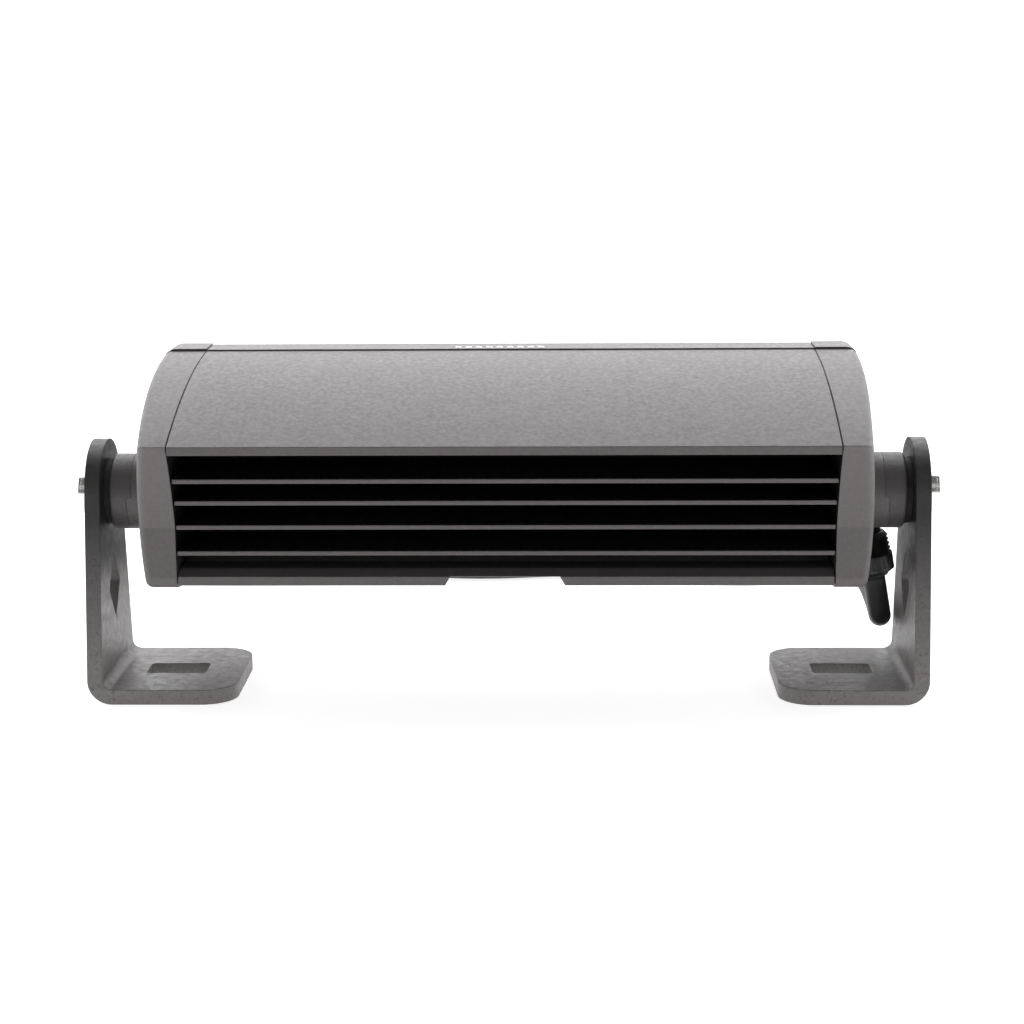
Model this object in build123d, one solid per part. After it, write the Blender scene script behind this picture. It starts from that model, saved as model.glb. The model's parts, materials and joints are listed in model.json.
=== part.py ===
from build123d import *
import math
import os

os.makedirs("parts", exist_ok=True)

# Frame: +X along the bar, +Y the way the beam points, +Z up, the feet stand on Z = 0,
# and the tilt axis runs along X through Y = 0, Z = PIVOT_Z. All lengths in millimetres.

# Brackets
PLATE = 5.0
BRACKET_OUTER_X = 137.9
FOOT_INNER_X = 89.5
FOOT_HALF_WIDTH = 26.5
FOOT_CORNER_R = 11.0
BEND_OUTER_R = 8.0
SLOT_X = 112.2
SLOT_LENGTH = 20.2
SLOT_WIDTH = 12.1
SLOT_CORNER_R = 1.5
DIAMOND_Z = 34.5
DIAMOND_HALF_HEIGHT = 11.5
DIAMOND_HALF_WIDTH = 8.75
DIAMOND_SIDE_R = 2.0
LEG_TOP_R = 17.6
PIVOT_Z = 66.5
BRACKET_HOLE_R = 4.1

# Pivot stack, from the end cap outwards
HUB_R = 12.6
HUB_HIGH_X = 125.3
HUB_LOW_X = 123.6
SPACER_END_X = 130.9
BOLT_R = 4.0
FRICTION_WASHER_R = 11.0
FLAT_WASHER_R = 8.0
FLAT_WASHER_THICK = 1.6
SPRING_WASHER_R = 7.2
SPRING_WASHER_THICK = 2.0
BOLT_HEAD_R = 7.0
BOLT_HEAD_HIGH = 4.4
BOLT_TIP_X = 110.0
BOLT_BAND = 0.8
BOLT_KEY = 5.0
BOLT_KEY_DEEP = 2.8

# Housing section, in Y and Z
HALF_LENGTH = 105.1
TOP_ARC_R = 253.0
TOP_ARC_Y = 51.3
TOP_ARC_Z = -144.2
SHELL_THICK = 2.5
REAR_Y = -46.0
LIP_Y = -34.0
FRONT_Y = 46.3
LIP_LOW_Z = 42.1
FRONT_LOW_Z = 30.0
FLOOR_THICK = 3.1
CORE_REAR_Y = -2.0
CORE_FRONT_Y = 6.0
CORE_LOW_Z = 38.0
CORE_HIGH_Z = 102.6
RIM_DEEP = 4.8
RIM_TOP_Z = (102.0, 107.4)
RIM_LOW_Z = (31.4, 37.0)
LIP_TOP = ((-34.0, 45.0), (-30.0, 46.9), (-22.0, 46.9))
LIP_END_Y = -16.0
WEB_THICK = 3.0
FIN_THICK = 1.4
FIN_TIPS = ((-38.6, 77.0), (-35.5, 69.4), (-33.6, 61.1), (-33.5, 52.6))
CHANNEL_R = 4.2
CHANNEL_HOLE_R = 1.7
CAP_SCREWS_AT = ((-10.0, 91.5), (37.5, 102.2), (37.5, 37.7), (-14.0, 46.0))
NOTCH_HALF_TOP = 17.6
NOTCH_HALF_MOUTH = 19.2
NOTCH_TOP_Z = 45.05

# End caps
CAP_GAP = 0.4
CAP_INNER_X = HALF_LENGTH + CAP_GAP
CROWN_X = 123.9
CROWN_Y = 57.5
CROWN_Z = 68.0
CROWN_PLAN_R = 625.0
CROWN_SIDE_R = 200.0
CAP_EDGE_R = 2.6
CAP_HEEL_R = 4.0
CAP_HEEL_DROP = 0.9
POCKET_X = 112.5
POCKET_Y = 26.0
POCKET_Z = 70.0
POCKET_WIDE = 33.0
POCKET_HIGH = 51.0
VENT_SEAT_X = 121.0
VENT_Y = 26.0
VENT_Z = 52.0
VENT_HEAD_R = 5.5
VENT_SHANK_R = 3.0
SCREW_RECESS_R = 3.4
SCREW_RECESS_DEEP = 6.0
SCREW_HEAD_R = 3.2
SCREW_HEAD_HIGH = 3.2
SCREW_R = 1.65

# Front end: lens, bezels and optics
LENS_HALF_X = 104.6
LENS_LOW_Z = 35.6
LENS_HIGH_Z = 103.4
LENS_REAR_Y = 47.5
LENS_THICK = 3.0
WINDOW_HALF_X = 100.2
WINDOW_LOW_Z = 38.4
WINDOW_HIGH_Z = 100.6
BEZEL_REAR_Y = 47.8
BEZEL_FRONT_Y = 54.3
BEZEL_TOP_Z = 108.9
END_BEZEL_REAR_Y = 48.1
END_BEZEL_FRONT_Y = 55.0
END_BEZEL_OUTER_X = 121.0
END_BEZEL_TOP_Z = 109.2
SKIRT_REAR_Y = 38.2
SKIRT_LOW_Z = 107.4
SKIRT_GAP_Y = 0.6
SKIRT_GAP_Z = 0.2
BEZEL_SCREW_X = (-88.0, -30.0, 30.0, 88.0)
BEZEL_SCREW_TOP_Z = 106.0
BEZEL_SCREW_LOW_Z = 32.7
END_SCREW_X = 112.8
END_SCREW_Z = (42.5, 96.5)
COLUMNS = 7
PITCH = 28.5
BEAM_Z = 69.5
ROW_OFFSET = 14.2
CUP_MOUTH_R = 13.4
CUP_BASE_R = 4.2
CUP_BASE_Y = 10.2
CUP_FRONT_Y = 46.2
CUP_WALL = 1.0
BOARD_SCREW_X = (-71.25, -14.25, 14.25, 71.25)
PAD_FRONT_Y = 6.5
BOARD_FRONT_Y = 8.1

# Driver, in the right-hand end cap's pocket
DRIVER_X = (110.2, 111.8)
DRIVER_Y = (15.0, 41.0)
DRIVER_Z = (48.0, 92.0)
DRIVER_SCREW_Y = 28.0
DRIVER_SCREW_Z = (51.5, 88.5)
INDUCTOR_Y = 31.5
INDUCTOR_Z = 63.0
CAPACITOR_Y = (21.0, 34.0)
CAPACITOR_Z = 80.0
LEAD_JOIN_Y = 18.0
LINK_Z = (73.5, 76.5)

# Gland and cable, on the +X end cap
GLAND_EXIT = (124.0, 12.0, 34.6)
GLAND_TILT = 10.0
GLAND_SPIGOT = 15.0
GLAND_LONG = 19.0
GLAND_NUT_LOW = 2.0
GLAND_NUT_HIGH = 7.5
GLAND_NUT_R = 7.35
GLAND_RIBS = 5
GLAND_FLUTES = 12
LEAD_TURN = 28.0
LEAD_BORE_R = 2.6
LEAD_R = 0.9
CABLE_R = 3.8
CABLE_SPLIT_R = 47.0
CABLE_SPLIT_GAP = 0.3
CABLE_ROUTE = (
    (124.0, 12.0, 34.6),
    (126.151, 12.0, 22.4),
    (127.9, 20.5, 17.4),
    (128.4, 34.0, 19.4),
    (127.5, 51.0, 23.2),
    (124.5, 71.0, 23.4),
    (118.5, 93.0, 18.0),
    (109.0, 117.0, 10.2),
    (96.0, 139.0, 5.0),
    (72.0, 152.5, 3.9),
    (44.0, 157.5, 3.9),
    (15.0, 154.5, 3.9),
    (-13.0, 149.5, 3.9),
    (-38.0, 151.5, 4.2),
    (-62.0, 156.0, 8.3),
    (-84.0, 156.0, 8.3),
)
PLUG_REAR_X = -84.0
PLUG_LONG = 34.0
PLUG_WIDE = 21.0
PLUG_HIGH = 16.4
PLUG_BODY_REAR_X = PLUG_REAR_X - 6.0
PLUG_MOUTH_X = PLUG_BODY_REAR_X - PLUG_LONG
PLUG_CAVITY = 15.0
PIN_OFFSET = 4.0


def block(x, y, z):
    """A box given by its low and high values on each axis."""
    centre = Pos((x[0] + x[1]) / 2, (y[0] + y[1]) / 2, (z[0] + z[1]) / 2)
    return centre * Box(x[1] - x[0], y[1] - y[0], z[1] - z[0])


def rod_x(radius, x, y, z):
    """A cylinder along X between the two values in x."""
    return Pos((x[0] + x[1]) / 2, y, z) * Rot(0, 90, 0) * Cylinder(radius, x[1] - x[0])


def rod_y(radius, x, y, z):
    """A cylinder along Y between the two values in y."""
    return Pos(x, (y[0] + y[1]) / 2, z) * Rot(90, 0, 0) * Cylinder(radius, y[1] - y[0])


def prism_x(face, x):
    """Extrude a face drawn with Y and Z as its two axes, between the two values in x."""
    return extrude(Plane.YZ.offset(x[0]) * face, x[1] - x[0])


def prism_y(face, y):
    """Extrude a face drawn with X and Z as its two axes, between the two values in y."""
    return extrude(Plane.XZ.offset(-y[1]) * face, y[1] - y[0])


def polygon(*points):
    return make_face(Polyline(*points, close=True))


def hexagon_x(across, x, y, z):
    """A hexagonal prism along X, such as a key socket."""
    flats = RegularPolygon(across / math.sqrt(3), 6)
    return prism_x(Pos(y, z) * flats, x)


def hexagon_y(across, x, y, z):
    """A hexagonal prism along Y."""
    flats = RegularPolygon(across / math.sqrt(3), 6)
    return prism_y(Pos(x, z) * flats, y)


def joined(pieces):
    """One shape from a list of pieces that touch or overlap."""
    whole = pieces[0]
    for piece in pieces[1:]:
        whole = whole + piece
    return whole


def both_sides(shape):
    """The right-hand shape, and its mirror image across the middle of the bar."""
    return {"right": shape, "left": mirror(shape, about=Plane.YZ)}


def top_z(y):
    """Height of the curved top skin at a distance y from the tilt axis."""
    return TOP_ARC_Z + math.sqrt(TOP_ARC_R**2 - (y - TOP_ARC_Y) ** 2)


def floor_z(y):
    """Height of the sloping underside."""
    return LIP_LOW_Z + (FRONT_LOW_Z - LIP_LOW_Z) * (y - LIP_Y) / (FRONT_Y - LIP_Y)


def crown_x(y, z):
    """How far out the end cap's crowned face stands."""
    return CROWN_X - (y - CROWN_Y) ** 2 / (2 * CROWN_PLAN_R) - (z - CROWN_Z) ** 2 / (2 * CROWN_SIDE_R)


# ---------------------------------------------------------------- brackets


def bracket():
    inner_x = BRACKET_OUTER_X - PLATE
    inner_r = BEND_OUTER_R - PLATE
    leg_top = PIVOT_Z + LEG_TOP_R
    bend = make_face(
        [
            Line((FOOT_INNER_X, 0), (BRACKET_OUTER_X - BEND_OUTER_R, 0)),
            CenterArc((BRACKET_OUTER_X - BEND_OUTER_R, BEND_OUTER_R), BEND_OUTER_R, 270, 90),
            Line((BRACKET_OUTER_X, BEND_OUTER_R), (BRACKET_OUTER_X, leg_top)),
            Line((BRACKET_OUTER_X, leg_top), (inner_x, leg_top)),
            Line((inner_x, leg_top), (inner_x, PLATE + inner_r)),
            CenterArc((inner_x - inner_r, PLATE + inner_r), inner_r, 270, 90),
            Line((inner_x - inner_r, PLATE), (FOOT_INNER_X, PLATE)),
            Line((FOOT_INNER_X, PLATE), (FOOT_INNER_X, 0)),
        ]
    )
    body = prism_y(bend, (-FOOT_HALF_WIDTH, FOOT_HALF_WIDTH))

    shoulder = (FOOT_HALF_WIDTH, PLATE)
    rise = PIVOT_Z - shoulder[1]
    reach = math.hypot(shoulder[0], rise)
    turn = math.atan2(shoulder[0], rise) + math.acos(LEG_TOP_R / reach)
    touch = (LEG_TOP_R * math.sin(turn), PIVOT_Z - LEG_TOP_R * math.cos(turn))
    outline = make_face(
        [
            Line((-FOOT_HALF_WIDTH, -1), (FOOT_HALF_WIDTH, -1)),
            Line((FOOT_HALF_WIDTH, -1), shoulder),
            Line(shoulder, touch),
            ThreePointArc(touch, (0, leg_top), (-touch[0], touch[1])),
            Line((-touch[0], touch[1]), (-shoulder[0], shoulder[1])),
            Line((-shoulder[0], shoulder[1]), (-FOOT_HALF_WIDTH, -1)),
        ]
    )
    body = body & prism_x(outline, (FOOT_INNER_X - 1, BRACKET_OUTER_X + 1))
    toe = body.edges().filter_by(Axis.Z).group_by(Axis.X)[0]
    body = fillet(toe, FOOT_CORNER_R)

    slot = RectangleRounded(SLOT_LENGTH, SLOT_WIDTH, SLOT_CORNER_R)
    body = body - extrude(Pos(SLOT_X, 0, -1) * slot, PLATE + 2)
    diamond = polygon(
        (-DIAMOND_HALF_WIDTH, DIAMOND_Z),
        (0, DIAMOND_Z + DIAMOND_HALF_HEIGHT),
        (DIAMOND_HALF_WIDTH, DIAMOND_Z),
        (0, DIAMOND_Z - DIAMOND_HALF_HEIGHT),
    )
    sides = diamond.vertices().sort_by(Axis.X)
    diamond = fillet([sides[0], sides[-1]], DIAMOND_SIDE_R)
    body = body - prism_x(diamond, (inner_x - 1, BRACKET_OUTER_X + 1))
    body = body - rod_x(BRACKET_HOLE_R, (inner_x - 1, BRACKET_OUTER_X + 1), 0, PIVOT_Z)
    return body


# ---------------------------------------------------------------- pivot stack


def pivot_spacer():
    """A round spacer whose lower half is cut back to sit on the end cap's raised half-moon."""
    body = rod_x(HUB_R, (HUB_LOW_X, SPACER_END_X), 0, PIVOT_Z)
    step = block((HUB_LOW_X - 1, HUB_HIGH_X), (-20, 20), (PIVOT_Z - 20, PIVOT_Z))
    rim = body.edges().filter_by(GeomType.CIRCLE).sort_by(Axis.X)[-1]
    body = chamfer(rim, 0.6) - step
    return body - rod_x(BOLT_R + 0.1, (HUB_LOW_X - 1, SPACER_END_X + 1), 0, PIVOT_Z)


def ring_x(outer_r, inner_r, x):
    return rod_x(outer_r, x, 0, PIVOT_Z) - rod_x(inner_r, (x[0] - 1, x[1] + 1), 0, PIVOT_Z)


def spring_washer(x):
    """A split lock washer: a ring with one slanted cut."""
    ring = ring_x(SPRING_WASHER_R, BOLT_R + 0.2, x)
    cut = Pos((x[0] + x[1]) / 2, 0, PIVOT_Z + 6) * Rot(0, 0, 35) * Box(8, 1.0, 6)
    return ring - cut


def pivot_bolt(seat_x):
    """A button-head bolt with a hexagonal key socket."""
    rise = BOLT_HEAD_HIGH - BOLT_BAND
    dome_r = (BOLT_HEAD_R**2 + rise**2) / (2 * rise)
    half_angle = math.asin(BOLT_HEAD_R / dome_r) / 2
    peak = seat_x + BOLT_HEAD_HIGH
    mid = (peak - dome_r * (1 - math.cos(half_angle)), dome_r * math.sin(half_angle))
    band_x = seat_x + BOLT_BAND
    half = make_face(
        [
            Line((BOLT_TIP_X, 0), (BOLT_TIP_X, BOLT_R - BOLT_BAND)),
            Line((BOLT_TIP_X, BOLT_R - BOLT_BAND), (BOLT_TIP_X + BOLT_BAND, BOLT_R)),
            Line((BOLT_TIP_X + BOLT_BAND, BOLT_R), (seat_x, BOLT_R)),
            Line((seat_x, BOLT_R), (seat_x, BOLT_HEAD_R)),
            Line((seat_x, BOLT_HEAD_R), (band_x, BOLT_HEAD_R)),
            ThreePointArc((band_x, BOLT_HEAD_R), mid, (peak, 0)),
            Line((peak, 0), (BOLT_TIP_X, 0)),
        ]
    )
    body = Pos(0, 0, PIVOT_Z) * revolve(half, Axis.X)
    return body - hexagon_x(BOLT_KEY, (peak - BOLT_KEY_DEEP, peak + 1), 0, PIVOT_Z)


# ---------------------------------------------------------------- housing


def slab(y, z):
    """A rectangle in the housing's section, given by its low and high values."""
    return Pos((y[0] + y[1]) / 2, (z[0] + z[1]) / 2) * Rectangle(y[1] - y[0], z[1] - z[0])


def housing_section():
    arc_centre = Pos(TOP_ARC_Y, TOP_ARC_Z)
    ring = arc_centre * (Circle(TOP_ARC_R) - Circle(TOP_ARC_R - SHELL_THICK))
    shell = ring & slab((REAR_Y, FRONT_Y), (CORE_HIGH_Z - 32, CORE_HIGH_Z + 28))
    under = polygon(
        (LIP_Y, LIP_LOW_Z),
        *LIP_TOP,
        (LIP_END_Y, floor_z(LIP_END_Y) + FLOOR_THICK),
        (FRONT_Y, FRONT_LOW_Z + FLOOR_THICK),
        (FRONT_Y, FRONT_LOW_Z),
    )
    root_y = CORE_REAR_Y + 1
    pieces = [shell, under, slab((CORE_REAR_Y, CORE_FRONT_Y), (CORE_LOW_Z, CORE_HIGH_Z))]
    for tip_y, fin_z in FIN_TIPS:
        pieces.append(slab((tip_y, root_y), (fin_z - FIN_THICK / 2, fin_z + FIN_THICK / 2)))
    for y, z in CAP_SCREWS_AT:
        pieces.append(Pos(y, z) * Circle(CHANNEL_R))
    web_y, web_z = CAP_SCREWS_AT[0]
    pieces.append(slab((web_y, root_y), (web_z - WEB_THICK / 2, web_z + WEB_THICK / 2)))
    for rim_z in (RIM_TOP_Z, RIM_LOW_Z):
        pieces.append(slab((FRONT_Y - RIM_DEEP, FRONT_Y), rim_z))
    return joined(pieces)


def underside_notch():
    """A shallow wedge-shaped recess in the middle of the underside, open to the rear."""
    flare = (NOTCH_HALF_MOUTH - NOTCH_HALF_TOP) / (NOTCH_TOP_Z - LIP_LOW_Z)
    low_z = 30.0
    half_low = NOTCH_HALF_TOP + flare * (NOTCH_TOP_Z - low_z)
    across = polygon(
        (-half_low, low_z),
        (-NOTCH_HALF_TOP, NOTCH_TOP_Z),
        (NOTCH_HALF_TOP, NOTCH_TOP_Z),
        (half_low, low_z),
    )
    end_y = -1.5
    wedge = polygon(
        (LIP_Y - 1, low_z),
        (LIP_Y - 1, NOTCH_TOP_Z),
        (LIP_Y, NOTCH_TOP_Z),
        (end_y, floor_z(end_y)),
        (end_y, low_z),
    )
    return prism_y(across, (LIP_Y - 1, end_y)) & prism_x(wedge, (-half_low, half_low))


def housing():
    body = prism_x(housing_section(), (-HALF_LENGTH, HALF_LENGTH))
    body = body - underside_notch() - skirt_rebate((-HALF_LENGTH - 1, HALF_LENGTH + 1))
    hole_deep = 20.0
    for y, z in CAP_SCREWS_AT:
        for side in (-1, 1):
            ends = sorted((side * (HALF_LENGTH - hole_deep), side * (HALF_LENGTH + 1)))
            body = body - rod_x(CHANNEL_HOLE_R, ends, y, z)
    for x in BEZEL_SCREW_X:
        for z in (BEZEL_SCREW_TOP_Z, BEZEL_SCREW_LOW_Z):
            body = body - rod_y(1.3, x, (FRONT_Y - 8, FRONT_Y + 1), z)
    for x in BOARD_SCREW_X:
        body = body - rod_y(1.3, x, (CORE_FRONT_Y - 6, CORE_FRONT_Y + 1), BEAM_Z)
    return body


# ---------------------------------------------------------------- end caps


def cap_section():
    front = (FRONT_Y, top_z(FRONT_Y))
    rear = (REAR_Y, top_z(REAR_Y))
    waist = (-33.7, 61.0)
    heel = (LIP_Y, LIP_LOW_Z - CAP_HEEL_DROP)
    toe = (FRONT_Y, FRONT_LOW_Z)
    outline = make_face(
        [
            ThreePointArc(front, (0, top_z(0)), rear),
            ThreePointArc(rear, (-39.6, 77.5), waist),
            Line(waist, heel),
            Line(heel, toe),
            Line(toe, front),
        ]
    )
    corner = outline.vertices().sort_by(Axis.Y)[1]
    return fillet(corner, CAP_HEEL_R)


def crown():
    """A solid whose outer face is the crowned end, drawn through upright sections."""
    low, high, inner = 10.0, 125.0, 90.0
    first, last, count = -60.0, 62.0, 5
    sections = []
    for index in range(count):
        y = first + (last - first) * index / (count - 1)
        foot, belly, head = [crown_x(y, z) for z in (low, CROWN_Z, high)]
        outline = make_face(
            [
                Line((inner, low), (foot, low)),
                ThreePointArc((foot, low), (belly, CROWN_Z), (head, high)),
                Line((head, high), (inner, high)),
                Line((inner, high), (inner, low)),
            ]
        )
        sections.append(Plane.XZ.offset(-y) * outline)
    return loft(sections)


def skirt_rebate(x):
    """The step in the top skin that a bezel's skirt lies in."""
    y = (SKIRT_REAR_Y - SKIRT_GAP_Y, FRONT_Y + 1)
    return block(x, y, (SKIRT_LOW_Z - SKIRT_GAP_Z, SKIRT_LOW_Z + 5))


def cap_blank():
    """The right-hand end cap before anything that only one side has."""
    body = prism_x(cap_section(), (CAP_INNER_X, CROWN_X + 5)) & crown()
    outer = body.faces().sort_by(Axis.X)[-1]
    rim = [e for e in outer.edges() if e.center().Y < FRONT_Y - 1]
    body = fillet(rim, CAP_EDGE_R)
    body = body + rod_x(HUB_R, (CAP_INNER_X + 5, HUB_LOW_X), 0, PIVOT_Z)
    moon = rod_x(HUB_R, (HUB_LOW_X - 1, HUB_HIGH_X), 0, PIVOT_Z)
    body = body + (moon & block((HUB_LOW_X - 1, HUB_HIGH_X), (-20, 20), (40, PIVOT_Z)))
    land = block((106.2, 117.0), (FRONT_Y - 0.5, END_BEZEL_REAR_Y), (34.0, 104.6))
    body = body + land - skirt_rebate((CAP_INNER_X - 1, CROWN_X))
    pocket = Pos(POCKET_Y, POCKET_Z) * RectangleRounded(POCKET_WIDE, POCKET_HIGH, 3.0)
    body = body - prism_x(pocket, (CAP_INNER_X - 1, POCKET_X))
    body = body - rod_x(BOLT_R + 0.05, (BOLT_TIP_X - 1, HUB_HIGH_X + 1), 0, PIVOT_Z)
    for y, z in CAP_SCREWS_AT:
        seat = crown_x(y, z) - SCREW_RECESS_DEEP
        body = body - rod_x(2.0, (CAP_INNER_X - 1, seat + 1), y, z)
        body = body - rod_x(SCREW_RECESS_R, (seat, CROWN_X + 2), y, z)
    for z in END_SCREW_Z:
        body = body - rod_y(1.7, END_SCREW_X, (FRONT_Y - 9, END_BEZEL_REAR_Y + 1), z)
    return body


def gland_frame():
    """A plane at the cable's exit whose normal runs back up into the gland."""
    tilt = math.radians(GLAND_TILT)
    return Plane(origin=GLAND_EXIT, x_dir=(0, 1, 0), z_dir=(-math.sin(tilt), 0, math.cos(tilt)))


def along_gland(distance):
    """A point on the gland's axis."""
    tilt = math.radians(GLAND_TILT)
    x, y, z = GLAND_EXIT
    return (x - math.sin(tilt) * distance, y, z + math.cos(tilt) * distance)


def gland_rod(radius, start, end):
    return gland_frame() * (Pos(0, 0, (start + end) / 2) * Cylinder(radius, end - start))


def lead_corner():
    """Where the leads turn from the gland's bore into the cap's pocket."""
    return along_gland(LEAD_TURN)


def right_cap(blank):
    corner = lead_corner()
    body = blank - gland_rod(7.8, -8.0, GLAND_SPIGOT)
    body = body - gland_rod(4.65, GLAND_SPIGOT - 1, GLAND_LONG)
    body = body - gland_rod(LEAD_BORE_R, GLAND_LONG - 1, LEAD_TURN)
    body = body - rod_x(LEAD_BORE_R, (POCKET_X - 1, corner[0] + 1.0), corner[1], corner[2])
    for z in DRIVER_SCREW_Z:
        pad = rod_x(2.6, (DRIVER_X[1], POCKET_X + 0.5), DRIVER_SCREW_Y, z)
        hole = rod_x(1.25, (DRIVER_X[1] - 1, DRIVER_X[1] + 4.2), DRIVER_SCREW_Y, z)
        body = body + pad - hole
    return body


def left_cap(blank):
    body = mirror(blank, about=Plane.YZ)
    recess = rod_x(VENT_HEAD_R + 0.3, (-CROWN_X - 3, -VENT_SEAT_X), VENT_Y, VENT_Z)
    bore = rod_x(VENT_SHANK_R + 0.05, (-VENT_SEAT_X - 1, -POCKET_X + 1), VENT_Y, VENT_Z)
    return body - recess - bore


def breather_vent():
    """A screw-in pressure vent: shank, round head and four side slots."""
    seat = -VENT_SEAT_X
    body = rod_x(VENT_HEAD_R, (seat - 2.4, seat), VENT_Y, VENT_Z)
    rim = body.edges().filter_by(GeomType.CIRCLE).sort_by(Axis.X)[0]
    body = fillet(rim, 0.8)
    body = body + rod_x(VENT_SHANK_R, (seat - 0.5, -POCKET_X), VENT_Y, VENT_Z)
    for angle in (0, 90):
        slot = Pos(seat - 0.8, VENT_Y, VENT_Z) * Rot(angle, 0, 0) * Box(0.8, 12.0, 1.6)
        body = body - slot
    return body + rod_x(3.6, (seat - 2.0, seat), VENT_Y, VENT_Z)


def chamber(y, gap):
    """The housing's closed front chamber between two depths, kept a gap inside its skin."""
    rear, front = y
    middle = (rear + front) / 2
    return make_face(
        [
            Line((rear, floor_z(rear) + gap), (front, floor_z(front) + gap)),
            Line((front, floor_z(front) + gap), (front, top_z(front) - gap)),
            ThreePointArc(
                (front, top_z(front) - gap),
                (middle, top_z(middle) - gap),
                (rear, top_z(rear) - gap),
            ),
            Line((rear, top_z(rear) - gap), (rear, floor_z(rear) + gap)),
        ]
    )


def cap_gasket():
    ring = chamber((-1.6, 45.8), 0.5) - chamber((6.2, 41.4), 3.6)
    return prism_x(ring, (HALF_LENGTH, CAP_INNER_X))


def cap_screws():
    """The four recessed screws of the right-hand cap."""
    screws = []
    for y, z in CAP_SCREWS_AT:
        seat = crown_x(y, z) - SCREW_RECESS_DEEP
        head = rod_x(SCREW_HEAD_R, (seat, seat + SCREW_HEAD_HIGH), y, z)
        rim = head.edges().filter_by(GeomType.CIRCLE).sort_by(Axis.X)[-1]
        head = chamfer(rim, 0.4) - hexagon_x(2.5, (seat + 1.2, seat + 5), y, z)
        screws.append(head + rod_x(SCREW_R, (HALF_LENGTH - 14, seat + 0.5), y, z))
    return screws


# ---------------------------------------------------------------- front end


def lens():
    middle_z = (LENS_LOW_Z + LENS_HIGH_Z) / 2
    plate = Pos(0, middle_z) * RectangleRounded(2 * LENS_HALF_X, LENS_HIGH_Z - LENS_LOW_Z, 3.0)
    body = prism_y(plate, (LENS_REAR_Y, LENS_REAR_Y + LENS_THICK))
    edges = body.faces().sort_by(Axis.Y)[-1].edges()
    return chamfer(edges, 0.4)


def lens_seal():
    middle_z = (LENS_LOW_Z + LENS_HIGH_Z) / 2
    high = LENS_HIGH_Z - LENS_LOW_Z
    outer = Pos(0, middle_z) * RectangleRounded(2 * LENS_HALF_X, high, 3.0)
    inner = Pos(0, middle_z) * RectangleRounded(2 * LENS_HALF_X - 9, high - 5, 3.0)
    return prism_y(outer - inner, (FRONT_Y, LENS_REAR_Y))


def strip_section(out_z, rebate_z, lip_z, back_z):
    """Section of a long bezel strip: outer face, lens rebate, inner lip and rear land."""
    side = 1 if out_z > lip_z else -1
    return polygon(
        (FRONT_Y, back_z[0]),
        (FRONT_Y, back_z[1]),
        (BEZEL_REAR_Y, back_z[1]),
        (BEZEL_REAR_Y, out_z),
        (BEZEL_FRONT_Y - 1.4, out_z),
        (BEZEL_FRONT_Y, out_z - side * 1.4),
        (BEZEL_FRONT_Y, lip_z + side * 0.8),
        (BEZEL_FRONT_Y - 1.4, lip_z),
        (LENS_REAR_Y + LENS_THICK + 0.2, lip_z),
        (LENS_REAR_Y + LENS_THICK + 0.2, rebate_z),
        (BEZEL_REAR_Y, rebate_z),
        (BEZEL_REAR_Y, back_z[0]),
    )


def bezel_strip(section, screw_z):
    half = CAP_INNER_X - 0.4
    body = prism_x(section, (-half, half))
    for x in BEZEL_SCREW_X:
        body = body - rod_y(1.7, x, (FRONT_Y - 1, BEZEL_FRONT_Y + 1), screw_z)
        body = body - rod_y(2.9, x, (BEZEL_FRONT_Y - 1.6, BEZEL_FRONT_Y + 1), screw_z)
    return body


def bezel_top():
    section = strip_section(BEZEL_TOP_Z, LENS_HIGH_Z + 0.3, WINDOW_HIGH_Z, (104.4, SKIRT_LOW_Z))
    skirt = slab((SKIRT_REAR_Y, BEZEL_REAR_Y + 1), (SKIRT_LOW_Z, BEZEL_TOP_Z))
    return bezel_strip(section + skirt, BEZEL_SCREW_TOP_Z)


def bezel_bottom():
    section = strip_section(FRONT_LOW_Z, LENS_LOW_Z - 0.3, WINDOW_LOW_Z, (34.6, 31.6))
    return bezel_strip(section, BEZEL_SCREW_LOW_Z)


def end_bezel():
    low, high = FRONT_LOW_Z - 0.4, END_BEZEL_TOP_Z
    plate = polygon(
        (CAP_INNER_X + 0.1, low),
        (END_BEZEL_OUTER_X, low),
        (END_BEZEL_OUTER_X, high),
        (CAP_INNER_X + 0.1, high),
    )
    corners = plate.vertices().group_by(Axis.X)[-1]
    plate = fillet(corners, 5.0)
    middle_z = (WINDOW_LOW_Z + WINDOW_HIGH_Z) / 2
    tongue_x = (WINDOW_HALF_X, CAP_INNER_X + 1)
    tongue = Pos(sum(tongue_x) / 2, middle_z) * Rectangle(
        tongue_x[1] - tongue_x[0], WINDOW_HIGH_Z - WINDOW_LOW_Z - 0.4
    )
    body = prism_y(plate + tongue, (END_BEZEL_REAR_Y, END_BEZEL_FRONT_Y))
    front = body.faces().sort_by(Axis.Y)[-1]
    body = chamfer(front.edges(), 1.0)
    rebate = block((90, LENS_HALF_X + 0.3), (40, LENS_REAR_Y + LENS_THICK + 0.2), (0, 130))
    over = block((CAP_INNER_X, CROWN_X), (SKIRT_REAR_Y, END_BEZEL_REAR_Y + 1), (SKIRT_LOW_Z, high))
    body = body - rebate + (over & prism_y(plate, (SKIRT_REAR_Y, END_BEZEL_REAR_Y + 1)))
    for z in END_SCREW_Z:
        body = body - rod_y(2.2, END_SCREW_X, (40, END_BEZEL_FRONT_Y + 1), z)
        body = body - rod_y(3.9, END_SCREW_X, (END_BEZEL_FRONT_Y - 2.6, END_BEZEL_FRONT_Y + 1), z)
    return body


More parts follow.
